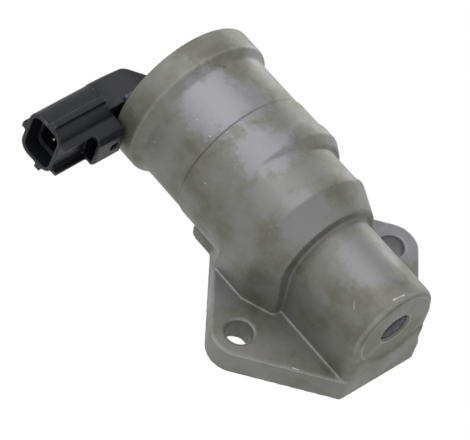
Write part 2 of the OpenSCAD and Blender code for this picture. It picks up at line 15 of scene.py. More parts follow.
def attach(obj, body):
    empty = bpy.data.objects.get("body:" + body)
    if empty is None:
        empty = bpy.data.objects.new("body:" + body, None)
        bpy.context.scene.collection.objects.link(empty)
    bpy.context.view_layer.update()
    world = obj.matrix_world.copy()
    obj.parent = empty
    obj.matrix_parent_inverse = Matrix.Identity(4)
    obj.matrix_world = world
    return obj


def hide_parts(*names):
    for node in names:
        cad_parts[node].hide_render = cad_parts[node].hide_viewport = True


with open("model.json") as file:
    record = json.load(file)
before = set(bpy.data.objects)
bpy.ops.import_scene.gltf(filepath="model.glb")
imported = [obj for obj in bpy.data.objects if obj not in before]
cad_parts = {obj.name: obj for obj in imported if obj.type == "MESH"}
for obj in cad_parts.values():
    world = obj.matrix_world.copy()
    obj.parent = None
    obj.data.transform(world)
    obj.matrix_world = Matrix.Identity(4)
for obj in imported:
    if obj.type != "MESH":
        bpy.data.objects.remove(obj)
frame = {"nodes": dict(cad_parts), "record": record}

LOG = logging.getLogger("valve")
MM = 0.001
AXIS_Z = 26.3  # height of the valve's axis over the mounting face, in millimetres
WHITE = (1.0, 1.0, 1.0, 1.0)
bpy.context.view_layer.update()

Numbers = Sequence[float]
Socket = bpy.types.NodeSocket


class Slot(Enum):
    """The record's material slots."""

    CAST_ALUMINIUM = "cast_aluminium"
    CASE_STEEL = "case_steel"
    CORE_STEEL = "core_steel"
    SPRING_STEEL = "spring_steel"
    STEM_STEEL = "stem_steel"
    BRASS = "brass"
    BUSH_BRONZE = "bush_bronze"
    WINDING_COPPER = "winding_copper"
    TERMINAL_PLATE = "terminal_plate"
    CONNECTOR_PLASTIC = "connector_plastic"
    BOBBIN_PLASTIC = "bobbin_plastic"
    SEAL_RUBBER = "seal_rubber"
    GASKET_FIBRE = "gasket_fibre"
    REAR_SEALANT = "rear_sealant"
    NOSE_SEALANT = "nose_sealant"


def linear(code: str) -> tuple[float, float, float, float]:
    """Turns a colour code into the linear colour that shaders take.

    Args:
        code: the colour as sRGB hex, such as "#7d7c76".

    Returns:
        Linear red, green, blue and an alpha of 1.
    """
    parts = [int(code[i : i + 2], 16) / 255 for i in (1, 3, 5)]
    red, green, blue = (c / 12.92 if c <= 0.04045 else ((c + 0.055) / 1.055) ** 2.4 for c in parts)
    return red, green, blue, 1.0


def per_mm(size_mm: float) -> float:
    """Texture scale whose features measure about size_mm."""
    return 1 / (size_mm * MM)


class Shader:
    """A material's node tree with one function that adds nodes."""

    def __init__(self, name: str) -> None:
        """Starts a material that holds only its output node.

        Args:
            name: the real finish that the material stands for.
        """
        self.material = bpy.data.materials.new(name)
        self.material.use_nodes = True
        self.tree = self.material.node_tree
        self.tree.nodes.clear()
        self.output = self.tree.nodes.new("ShaderNodeOutputMaterial")

    def add(
        self,
        kind: str,
        settings: Optional[dict[str, Any]] = None,
        inputs: Optional[dict[Any, Any]] = None,
        out: Any = 0,
    ) -> Socket:
        """Adds a node with its settings, values and links.

        Args:
            kind: the node's type name.
            settings: properties of the node itself.
            inputs: a value or a linked socket for each input, by name or number.
            out: which output socket to return.

        Returns:
            The chosen output socket.
        """
        node = self.tree.nodes.new(kind)
        for name, value in (settings or {}).items():
            setattr(node, name, value)
        for key, value in (inputs or {}).items():
            if isinstance(value, Socket):
                self.tree.links.new(value, node.inputs[key])
            else:
                node.inputs[key].default_value = value
        return node.outputs[out]

    def place(self) -> Socket:
        """Object coordinates, in metres in the shared frame."""
        return self.add("ShaderNodeTexCoord", out="Object")

    def noise(self, size_mm: float, detail: float = 3, rough: float = 0.5) -> Socket:
        """Noise in object space.

        Args:
            size_mm: how large its blots are.
            detail: how many finer layers it has.
            rough: how strong each finer layer is.

        Returns:
            A number from 0 to 1.
        """
        inputs: dict[Any, Any] = {"Scale": per_mm(size_mm), "Detail": detail, "Roughness": rough}
        inputs["Vector"] = self.place()
        return self.add("ShaderNodeTexNoise", inputs=inputs, out="Fac")

    def math(self, operation: str, a: Any, b: Any = 0.0, clamp: bool = False) -> Socket:
        """One sum, product or other operation on two numbers."""
        settings = {"operation": operation, "use_clamp": clamp}
        return self.add("ShaderNodeMath", settings, {0: a, 1: b})

    def times(self, a: Any, b: Any) -> Socket:
        """The product of two numbers."""
        return self.math("MULTIPLY", a, b)

    def larger(self, a: Any, b: Any) -> Socket:
        """The larger of two numbers."""
        return self.math("MAXIMUM", a, b)

    def fade(
        self, value: Socket, low: float, high: float, to_low: float = 0.0, to_high: float = 1.0
    ) -> Socket:
        """Maps one range to another along a smooth curve.

        Args:
            value: the number to map.
            low: where the curve starts.
            high: where the curve ends.
            to_low: the result at and below low.
            to_high: the result at and above high.

        Returns:
            The mapped number.
        """
        inputs = {"Value": value, "From Min": low, "From Max": high}
        inputs |= {"To Min": to_low, "To Max": to_high}
        return self.add("ShaderNodeMapRange", {"interpolation_type": "SMOOTHSTEP"}, inputs)

    def mix(self, share: Any, a: Any, b: Any) -> Socket:
        """Mixes two colours by share, from a at 0 to b at 1."""
        inputs = {"Factor": share, 6: a, 7: b}
        return self.add("ShaderNodeMix", {"data_type": "RGBA"}, inputs, out=2)

    def bump(self, height: Socket, depth_mm: float, below: Optional[Socket] = None) -> Socket:
        """A bump, on its own or on top of another one.

        Args:
            height: the relief from 0 to 1.
            depth_mm: how deep the relief is.
            below: the bump that it lies on.

        Returns:
            The surface's normal.
        """
        inputs: dict[Any, Any] = {"Height": height, "Distance": depth_mm * MM, "Strength": 1.0}
        if below is not None:
            inputs["Normal"] = below
        return self.add("ShaderNodeBump", inputs=inputs)

    def finish(self, inputs: dict[str, Any]) -> bpy.types.Material:
        """Adds the surface shader.

        Args:
            inputs: its values and linked sockets.

        Returns:
            The finished material.
        """
        surface = self.add("ShaderNodeBsdfPrincipled", inputs=inputs)
        self.tree.links.new(surface, self.output.inputs["Surface"])
        return self.material


@dataclass(frozen=True)
class RubbedPatch:
    """A place on the casting where tumbling rubbed the film to a lilac grey."""

    centre_mm: tuple[float, float, float]
    radius_mm: float
    strength: float


@dataclass(frozen=True)
class Mark:
    """A nick or a scribe line in the casting, from one point to another."""

    start_mm: tuple[float, float, float]
    end_mm: tuple[float, float, float]
    width_mm: float
    strength: float = 0.8


@dataclass(frozen=True)
class Ring:
    """A thin ring round the valve's axis: a turned edge lightened by wear and painted highlight, or
    a line darkened as painted shade.
    """

    station_mm: float
    radius_mm: float
    width_mm: float
    strength: float


@dataclass(frozen=True)
class CastAluminium:
    """Die cast aluminium that was tumbled and then handled.

    The eye sees an olive grey film with soft dark clouds, large lilac grey
    places where the film is rubbed off, thin light edges that are partly wear and
    partly painted highlight, a few bright nicks, and thin dark rings of painted shade.
    """

    name: str = "tumbled cast aluminium"
    film: str = "#76766e"
    dark: str = "#6a6a61"
    rubbed: str = "#8b8a8f"
    # Light grey of worn edges and nicks, also the painted highlight on the turned rings.
    bright: str = "#c9c8c6"
    # Dark grey of the scribe lines, also used as painted shade in the dark rings.
    soot_and_shade: str = "#45443e"
    blot_mm: float = 12.0
    ragged_mm: float = 4.5
    dent_mm: float = 3.2
    speckle_mm: float = 1.0
    break_mm: float = 0.8
    # The cast skin's grain is about 0.1 mm, too fine to show, so it is drawn at 0.3 mm.
    grain_mm: float = 0.3
    dent_depth_mm: float = 0.035
    pit_depth_mm: float = 0.02
    grain_depth_mm: float = 0.01
    # Half metal: the oxide film scatters as much light as the metal under it reflects.
    metallic: float = 0.5
    flange_top_mm: float = 9.3
    flange_wear: float = 0.22
    patches: tuple[RubbedPatch, ...] = (
        RubbedPatch((-52.0, -9.0, 48.5), 13.0, 1.0),
        RubbedPatch((-47.0, -1.0, 50.5), 9.0, 0.7),
        RubbedPatch((-30.0, -8.0, 49.0), 11.0, 0.85),
        RubbedPatch((-7.0, -10.0, 44.5), 10.0, 0.6),
        RubbedPatch((-18.0, -14.0, 45.0), 8.0, 0.5),
        RubbedPatch((14.0, -1.0, 41.0), 11.0, 0.6),
        RubbedPatch((0.0, 36.0, 9.0), 11.0, 0.8),
        RubbedPatch((-16.0, -27.0, 9.0), 9.0, 0.6),
        RubbedPatch((5.0, -38.0, 9.0), 9.0, 0.45),
    )
    nicks: tuple[Mark, ...] = (
        Mark((12.9, -6.2, 39.6), (13.3, -4.2, 40.3), 0.35),
        Mark((21.0, -10.9, 36.2), (22.5, -12.0, 34.9), 0.4),
        Mark((28.6, -3.4, 40.65), (29.1, 0.2, 41.0), 0.6, 1.0),
        Mark((-6.0, -22.6, 33.8), (-3.2, -22.5, 33.4), 0.3, 0.6),
        Mark((-45.1, -15.6, 44.4), (-44.6, -15.4, 44.5), 0.45),
        Mark((-51.8, -15.2, 44.7), (-51.5, -15.0, 44.8), 0.4),
        Mark((-36.4, -22.5, 35.8), (-35.7, -22.4, 36.0), 0.3, 0.6),
        Mark((-58.6, -23.4, 31.6), (-57.9, -23.3, 31.8), 0.3, 0.5),
        Mark((26.6, -19.6, 9.2), (28.0, -18.4, 9.2), 0.5, 1.0),
        Mark((18.8, -25.4, 9.2), (20.2, -24.3, 9.2), 0.4, 0.8),
        Mark((-9.0, -41.0, 9.2), (-7.6, -41.4, 9.2), 0.4, 0.6),
    )
    scribes: tuple[Mark, ...] = (
        Mark((-62.1, -0.3, 50.2), (-58.8, 2.6, 50.2), 1.5, 0.45),
        Mark((-58.3, -14.9, 44.9), (-60.0, -11.8, 47.0), 0.5, 0.4),
        Mark((-56.1, -9.4, 48.2), (-44.9, -5.0, 49.7), 0.28, 0.35),
        Mark((-26.9, -15.9, 44.6), (-27.0, -10.5, 48.0), 0.35, 0.6),
        Mark((-9.5, -14.0, 43.5), (-8.6, -9.0, 46.3), 0.35, 0.35),
    )
    # Painted shade: dark rings where the barrel's small step and the hump's front corner lie in
    # shadow.
    painted_shade_rings: tuple[Ring, ...] = (
        Ring(-42.6, 24.1, 0.45, 0.5),
        Ring(-0.6, 15.1, 0.4, 0.35),
    )
    # Light rings on the rim's and the nose's turned edges: partly wear, partly painted highlight.
    rings: tuple[Ring, ...] = (
        Ring(-64.4, 26.2, 0.6, 0.12),
        Ring(-73.0, 26.1, 0.4, 0.2),
        Ring(31.2, 13.1, 0.3, 0.28),
        Ring(31.1, 5.9, 0.3, 0.3),
        Ring(29.9, 14.5, 0.7, 0.2),
    )

    def distance(self, shader: Shader, point: Socket, target: Any) -> Socket:
        """Distance between two points, in metres."""
        inputs = {0: point, 1: target}
        return shader.add("ShaderNodeVectorMath", {"operation": "DISTANCE"}, inputs, out="Value")

    def patch(self, shader: Shader, patch: RubbedPatch, ragged: Socket) -> Socket:
        """Strength of one rubbed patch, with a ragged border.

        Args:
            shader: the material's nodes.
            patch: where it is and how strong.
            ragged: noise that shifts the border in and out.

        Returns:
            The strength, which falls to 0 outside the patch.
        """
        radius = patch.radius_mm * MM
        away = self.distance(shader, shader.place(), tuple(c * MM for c in patch.centre_mm))
        shift = shader.times(shader.math("SUBTRACT", ragged, 0.5), patch.radius_mm * 1.7 * MM)
        edge = shader.math("ADD", away, shift)
        return shader.fade(edge, radius * 0.55, radius * 1.12, patch.strength, 0.0)

    def mark(self, shader: Shader, mark: Mark, place: Socket) -> Socket:
        """Strength of one nick or scribe line.

        Args:
            shader: the material's nodes.
            mark: its ends, width and strength.
            place: the surface point, in metres.

        Returns:
            The strength, which falls to 0 away from the line between the ends.
        """
        start = Vector(mark.start_mm) * MM
        way = Vector(mark.end_mm) * MM - start
        kind = "ShaderNodeVectorMath"
        from_start = shader.add(kind, {"operation": "SUBTRACT"}, {0: place, 1: start})
        inputs = {0: from_start, 1: way / way.length_squared}
        along = shader.add(kind, {"operation": "DOT_PRODUCT"}, inputs, out="Value")
        share = shader.math("ADD", along, 0.0, clamp=True)
        foot = shader.add(kind, {"operation": "SCALE"}, {0: way, "Scale": share})
        away = self.distance(shader, from_start, foot)
        half = mark.width_mm * MM / 2
        return shader.fade(away, half * 0.4, half * 1.3, mark.strength, 0.0)

    def marks(self, shader: Shader, marks: Sequence[Mark], place: Socket, base: Socket) -> Socket:
        """The strongest of a base and a set of marks at each point."""
        for mark in marks:
            base = shader.larger(base, self.mark(shader, mark, place))
        return base

    def ring(self, shader: Shader, ring: Ring, radius: Socket, station: Socket) -> Socket:
        """Strength of one ring.

        Args:
            shader: the material's nodes.
            ring: its station, radius, width and strength.
            radius: the surface point's distance from the axis, in metres.
            station: the surface point's place along the axis, in metres.

        Returns:
            The strength, which falls to 0 away from the ring.
        """
        dx = shader.math("SUBTRACT", station, ring.station_mm * MM)
        dr = shader.math("SUBTRACT", radius, ring.radius_mm * MM)
        away = shader.math("SQRT", shader.math("ADD", shader.times(dx, dx), shader.times(dr, dr)))
        width = ring.width_mm * MM
        return shader.fade(away, width * 0.3, width * 1.4, ring.strength, 0.0)

    def all_rings(self, shader: Shader, rings: Sequence[Ring], place: Socket) -> Socket:
        """Strength of a set of rings.

        Args:
            shader: the material's nodes.
            rings: the rings.
            place: the surface point, in metres.

        Returns:
            The strongest ring at each point.
        """
        parts = shader.tree.nodes.new("ShaderNodeSeparateXYZ")
        shader.tree.links.new(place, parts.inputs[0])
        x, y, z = parts.outputs
        up = shader.math("SUBTRACT", z, AXIS_Z * MM)
        radius = shader.math("SQRT", shader.math("ADD", shader.times(y, y), shader.times(up, up)))
        strength: Socket = shader.math("ADD", 0.0, 0.0)
        for ring in rings:
            strength = shader.larger(strength, self.ring(shader, ring, radius, x))
        return strength

    def worn_and_highlight_edges(self, shader: Shader, place: Socket) -> Socket:
        """Light on the turned edges, partly wear and partly painted highlight, and wear on the
        broken edge of the flange.

        Args:
            shader: the material's nodes.
            place: the surface point, in metres.

        Returns:
            The strength of the wear and the painted highlight.
        """
        worn = self.all_rings(shader, self.rings, place)
        z = shader.add("ShaderNodeSeparateXYZ", inputs={0: place}, out="Z")
        facing = shader.add("ShaderNodeTexCoord", out="Normal")
        tilt = shader.add("ShaderNodeSeparateXYZ", inputs={0: facing}, out="Z")
        # The broken edge is neither upright like the wall nor flat like the top.
        not_upright = shader.fade(tilt, 0.12, 0.35)
        slanted = shader.times(not_upright, shader.fade(tilt, 0.75, 0.97, 1.0, 0.0))
        low = (self.flange_top_mm - 0.9) * MM
        over = shader.fade(z, low, low + 0.3 * MM)
        under = shader.fade(z, low + 1.1 * MM, low + 1.4 * MM, 1.0, 0.0)
        edge = shader.times(slanted, shader.times(over, under))
        return shader.larger(worn, shader.times(edge, self.flange_wear))

    def tint(self, shader: Shader, rubbed: Socket, blots: Socket, speckle: Socket) -> Socket:
        """The film's colour with its clouds, rubbed places and speckles.

        Args:
            shader: the material's nodes.
            rubbed: how far the film is rubbed off.
            blots: the noise of the clouds.
            speckle: the noise of the speckles.

        Returns:
            The colour.
        """
        colour = shader.mix(shader.fade(blots, 0.36, 0.5), linear(self.dark), linear(self.film))
        colour = shader.mix(rubbed, colour, linear(self.rubbed))
        light_specks = shader.fade(speckle, 0.5, 0.75, 0.0, 0.2)
        colour = shader.mix(light_specks, colour, linear(self.rubbed))
        dark_specks = shader.fade(speckle, 0.22, 0.4, 0.2, 0.0)
        return shader.mix(dark_specks, colour, linear(self.dark))

    def material(self) -> bpy.types.Material:
        """Builds the material.

        Returns:
            The casting's material.
        """
        shader = Shader(self.name)
        place = shader.place()
        blots = shader.noise(self.blot_mm, 6, 0.62)
        speckle = shader.noise(self.speckle_mm, 4, 0.6)
        grain = shader.noise(self.grain_mm, 2, 0.5)
        ragged = shader.noise(self.ragged_mm, 7, 0.72)
        rubbed: Socket = shader.times(shader.fade(blots, 0.42, 0.68), 0.45)
        for patch in self.patches:
            rubbed = shader.larger(rubbed, self.patch(shader, patch, ragged))
        rubbed = shader.times(rubbed, shader.fade(speckle, 0.2, 0.45, 0.65, 1.0))
        colour = self.tint(shader, rubbed, blots, speckle)
        # Painted shade: darkens the rings at the barrel's step and at the hump's front corner.
        colour = shader.mix(self.all_rings(shader, self.painted_shade_rings, place), colour, linear(self.soot_and_shade))
        lines = self.marks(shader, self.scribes, place, shader.math("ADD", 0.0, 0.0))
        broken = shader.fade(shader.noise(self.break_mm, 3), 0.42, 0.55)
        colour = shader.mix(shader.times(lines, broken), colour, linear(self.soot_and_shade))
        patchy = shader.fade(speckle, 0.3, 0.55, 0.35, 1.0)
        # Light edges: wear on the flange's broken edge, and wear mixed with painted highlight on
        # the turned rings.
        worn = shader.times(self.worn_and_highlight_edges(shader, place), patchy)
        worn = self.marks(shader, self.nicks, place, worn)
        colour = shader.mix(worn, colour, linear(self.bright))
        # Rubbed places are a little glossier than the film.
        film_gloss = shader.fade(rubbed, 0.0, 1.0, 0.5, 0.4)
        gloss = shader.math("ADD", film_gloss, shader.fade(speckle, 0.3, 0.7, 0.0, 0.08))
        dents = shader.bump(shader.noise(self.dent_mm, 2, 0.5), self.dent_depth_mm)
        pits = shader.bump(speckle, self.pit_depth_mm, dents)
        normal = shader.bump(grain, self.grain_depth_mm, pits)
        inputs = {"Base Color": colour, "Roughness": gloss, "Metallic": self.metallic}
        return shader.finish(inputs | {"Normal": normal})


@dataclass(frozen=True)
class PlainMetal:
    """Turned, drawn or plated metal: a clean sheen with a fine grain and slight stains."""

    name: str
    colour: str
    stain: str
    roughness: float
    # Tool marks and plating grain are finer than a pixel, so they are drawn at this size.
    grain_mm: float = 0.15
    stain_mm: float = 3.0
    depth_mm: float = 0.006
    gloss_spread: float = 0.06
    metallic: float = 1.0

    def material(self) -> bpy.types.Material:
        """Builds the material.

        Returns:
            The metal's material.
        """
        shader = Shader(self.name)
        stains = shader.noise(self.stain_mm, 4, 0.6)
        grain = shader.noise(self.grain_mm, 2)
        stained = shader.fade(stains, 0.4, 0.75)
        colour = shader.mix(stained, linear(self.colour), linear(self.stain))
        smooth, rough = self.roughness - self.gloss_spread, self.roughness + self.gloss_spread
        gloss = shader.fade(grain, 0.3, 0.7, smooth, rough)
        normal = shader.bump(grain, self.depth_mm)
        inputs = {"Base Color": colour, "Roughness": gloss, "Metallic": self.metallic}
        return shader.finish(inputs | {"Normal": normal})


@dataclass(frozen=True)
class MouldedPlastic:
    """Moulded plastic: a dull, fine spark-eroded texture, pale clouds and rubbed edges."""

    name: str
    colour: str
    pale: str
    rubbed_edge: str
    roughness: float = 0.42
    # The eroded texture is about 0.05 mm, too fine to show, so it is drawn at 0.22 mm.
    grain_mm: float = 0.22
    cloud_mm: float = 6.0
    grain_depth_mm: float = 0.012
    sink_depth_mm: float = 0.05
    specular: float = 0.3

    def material(self) -> bpy.types.Material:
        """Builds the material.

        Returns:
            The plastic's material.
        """
        shader = Shader(self.name)
        clouds = shader.noise(self.cloud_mm, 4, 0.6)
        grain = shader.noise(self.grain_mm, 3, 0.6)
        pale = shader.fade(clouds, 0.35, 0.75, 0.0, 0.6)
        colour = shader.mix(pale, linear(self.colour), linear(self.pale))
        edge = shader.add("ShaderNodeNewGeometry", out="Pointiness")
        handled = shader.fade(clouds, 0.35, 0.65, 0.15, 0.8)
        worn = shader.times(shader.fade(edge, 0.515, 0.57), handled)
        colour = shader.mix(worn, colour, linear(self.rubbed_edge))
        gloss = shader.fade(grain, 0.3, 0.7, self.roughness - 0.05, self.roughness + 0.08)
        normal = shader.bump(grain, self.grain_depth_mm, shader.bump(clouds, self.sink_depth_mm))
        inputs = {"Base Color": colour, "Roughness": gloss, "Normal": normal}
        return shader.finish(inputs | {"Specular IOR Level": self.specular})


@dataclass(frozen=True)
class CuredSealant:
    """Poured and cured sealant: glossy, slightly wavy, with a few specks of dust."""

    name: str
    colour: str
    dust: str
    roughness: float = 0.18
    coat: float = 0.4
    specular: float = 0.5
    wave_mm: float = 1.6
    wave_depth_mm: float = 0.12
    dust_mm: float = 0.35

    def material(self) -> bpy.types.Material:
        """Builds the material.

        Returns:
            The sealant's material.
        """
        shader = Shader(self.name)
        waves = shader.noise(self.wave_mm, 2)
        dust = shader.fade(shader.noise(self.dust_mm, 2), 0.66, 0.74, 0.0, 0.5)
        colour = shader.mix(dust, linear(self.colour), linear(self.dust))
        gloss = shader.fade(waves, 0.3, 0.7, self.roughness - 0.05, self.roughness + 0.12)
        normal = shader.bump(waves, self.wave_depth_mm)
        inputs = {"Base Color": colour, "Roughness": gloss, "Normal": normal}
        return shader.finish(
            inputs | {"Coat Weight": self.coat, "Specular IOR Level": self.specular}
        )


Finish = Union[CastAluminium, PlainMetal, MouldedPlastic, CuredSealant]

# The comment over each finish says what it gives the eye.
FINISHES: dict[Slot, Finish] = {
    Slot.CAST_ALUMINIUM: CastAluminium(),
    # A cool pale grey with dull stains.
    Slot.CASE_STEEL: PlainMetal("zinc plated steel", "#a9aaa8", "#8c8d89", 0.34),
    # A neutral grey with fine turning marks.
    Slot.CORE_STEEL: PlainMetal("turned soft iron", "#8d8f90", "#77766f", 0.3),
    # A bright drawn wire.
    Slot.SPRING_STEEL: PlainMetal("bright spring steel", "#b4b6b8", "#8e8f90", 0.24),
    # The brightest metal here, with the finest grain.
    Slot.STEM_STEEL: PlainMetal("ground stainless steel", "#c3c5c8", "#a4a5a6", 0.2, 0.08),
    # A warm yellow with brown stains.
    Slot.BRASS: PlainMetal("turned brass", "#c8a45a", "#a07f40", 0.28),
    # A dull brown with the coarse grain of pressed powder.
    Slot.BUSH_BRONZE: PlainMetal("sintered bronze", "#a9793c", "#7d5a30", 0.5, 0.3),
    # A red brown with the gloss of enamel.
    Slot.WINDING_COPPER: PlainMetal("enamelled copper winding", "#b3653a", "#8c4526", 0.3),
    # A pale, slightly yellow sheen.
    Slot.TERMINAL_PLATE: PlainMetal("tin plated terminal strip", "#d9d3c0", "#b8ae90", 0.25, 0.1),
    # A slightly blue black with grey rubbed edges.
    Slot.CONNECTOR_PLASTIC: MouldedPlastic("black moulded nylon", "#191a1f", "#212329", "#66676c"),
    # A dull ivory.
    Slot.BOBBIN_PLASTIC: MouldedPlastic(
        "natural moulded nylon", "#d8d3c2", "#e2ddcf", "#efece2", 0.45
    ),
    # A soft, nearly neutral black.
    Slot.SEAL_RUBBER: MouldedPlastic("black seal rubber", "#1d1e1c", "#262725", "#30312f", 0.55),
    # A dry dark brown with coarse fibres.
    Slot.GASKET_FIBRE: MouldedPlastic(
        "gasket fibre sheet", "#3c3a34", "#4a473f", "#57534a", 0.8, grain_mm=0.4
    ),
    # A wet looking navy blue.
    Slot.REAR_SEALANT: CuredSealant("dark blue rear sealant", "#171d38", "#50557a"),
    # Nearly black, with a blue tinge and pale specks.
    Slot.NOSE_SEALANT: CuredSealant(
        "glossy dark nose sealant", "#131a2a", "#9aa4c0", 0.25, coat=0.0, specular=0.08
    ),
}


@dataclass
class Workshop:
    """Makes each finish once and hands out its material."""

    made: dict[Slot, bpy.types.Material] = field(default_factory=dict)

    def material(self, slot: Slot) -> bpy.types.Material:
        """The material of one slot, made on first use."""
        if slot not in self.made:
            self.made[slot] = FINISHES[slot].material()
        return self.made[slot]

    def dress(self, piece: bpy.types.Object, slot: Slot) -> None:
        """Gives the piece one material for all its faces.

        Args:
            piece: the object to dress.
            slot: the record's slot that it belongs to.
        """
        if not piece.data.materials:
            piece.data.materials.append(None)
        for index in range(len(piece.data.materials)):
            piece.data.materials[index] = self.material(slot)


@dataclass
class SoftenedPiece:
    """A copy of a CAD node whose sharp edges are rounded as on a casting or a moulding.

    The copy is remeshed at an even pitch, its points are relaxed where the
    real piece isn't machined, and flat stretches are thinned out again.
    """

    node: str
    name: str
    slot: Slot
    pitch_mm: float
    rounds: int
    triangles: int
    body: str = "root"
    softness: Optional[Callable[[np.ndarray], np.ndarray]] = None
    prepare: Optional[Callable[[bpy.types.Object], None]] = None
    moved: Optional[Callable[[np.ndarray], np.ndarray]] = None
    step: ClassVar[float] = 0.5

    def remeshed(self) -> bpy.types.Object:
        """Copies the node's mesh and remeshes it.

        Returns:
            The copy, with points at an even pitch.
        """
        source = frame["nodes"][self.node]
        piece = bpy.data.objects.new(self.name, source.data.copy())
        bpy.context.scene.collection.objects.link(piece)
        if self.prepare is not None:
            self.prepare(piece)
        remesh = piece.modifiers.new("even pitch", "REMESH")
        remesh.mode = "VOXEL"
        remesh.voxel_size = self.pitch_mm * MM
        self.settle(piece)
        return piece

    @staticmethod
    def settle(piece: bpy.types.Object) -> None:
        """Turns modifiers into mesh.

        Args:
            piece: the object whose modifiers are applied.
        """
        graph = bpy.context.evaluated_depsgraph_get()
        mesh = bpy.data.meshes.new_from_object(piece.evaluated_get(graph))
        piece.modifiers.clear()
        piece.data = mesh

    def relax(self, mesh: bpy.types.Mesh) -> None:
        """Moves each point towards the middle of its neighbours, round after round.

        Args:
            mesh: the mesh to round off.
        """
        count = len(mesh.vertices)
        points = np.empty(count * 3)
        mesh.vertices.foreach_get("co", points)
        points = points.reshape(-1, 3)
        ends = np.empty(len(mesh.edges) * 2, dtype=np.int64)
        mesh.edges.foreach_get("vertices", ends)
        first, second = ends[0::2], ends[1::2]
        neighbours = np.bincount(first, minlength=count)
        neighbours = neighbours + np.bincount(second, minlength=count)
        share = np.ones(count) if self.softness is None else self.softness(points / MM)
        for _ in range(self.rounds):
            for axis in range(3):
                near = np.bincount(first, points[second, axis], count)
                near += np.bincount(second, points[first, axis], count)
                middle = near / neighbours
                points[:, axis] += self.step * share * (middle - points[:, axis])
        if self.moved is not None:
            points = self.moved(points / MM) * MM
        mesh.vertices.foreach_set("co", points.ravel())
        mesh.update()

    def thin(self, piece: bpy.types.Object) -> None:
        """Drops points on flat stretches until the piece has its number of triangles.

        Args:
            piece: the piece to thin out.
        """
        piece.data.calc_loop_triangles()
        before = len(piece.data.loop_triangles)
        if before > self.triangles:
            fewer = piece.modifiers.new("fewer triangles", "DECIMATE")
            fewer.ratio = self.triangles / before
            self.settle(piece)

    def build(self, workshop: Workshop) -> bpy.types.Object:
        """Builds, dresses and seats the piece.

        Args:
            workshop: where its material comes from.

        Returns:
            The new piece.
        """
        piece = self.remeshed()
        self.relax(piece.data)
        self.thin(piece)
        piece.data.shade_smooth()
        workshop.dress(piece, self.slot)
        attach(piece, self.body)
        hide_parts(self.node)
        piece.data.calc_loop_triangles()
        LOG.info("%s: %d triangles", self.name, len(piece.data.loop_triangles))
        return piece


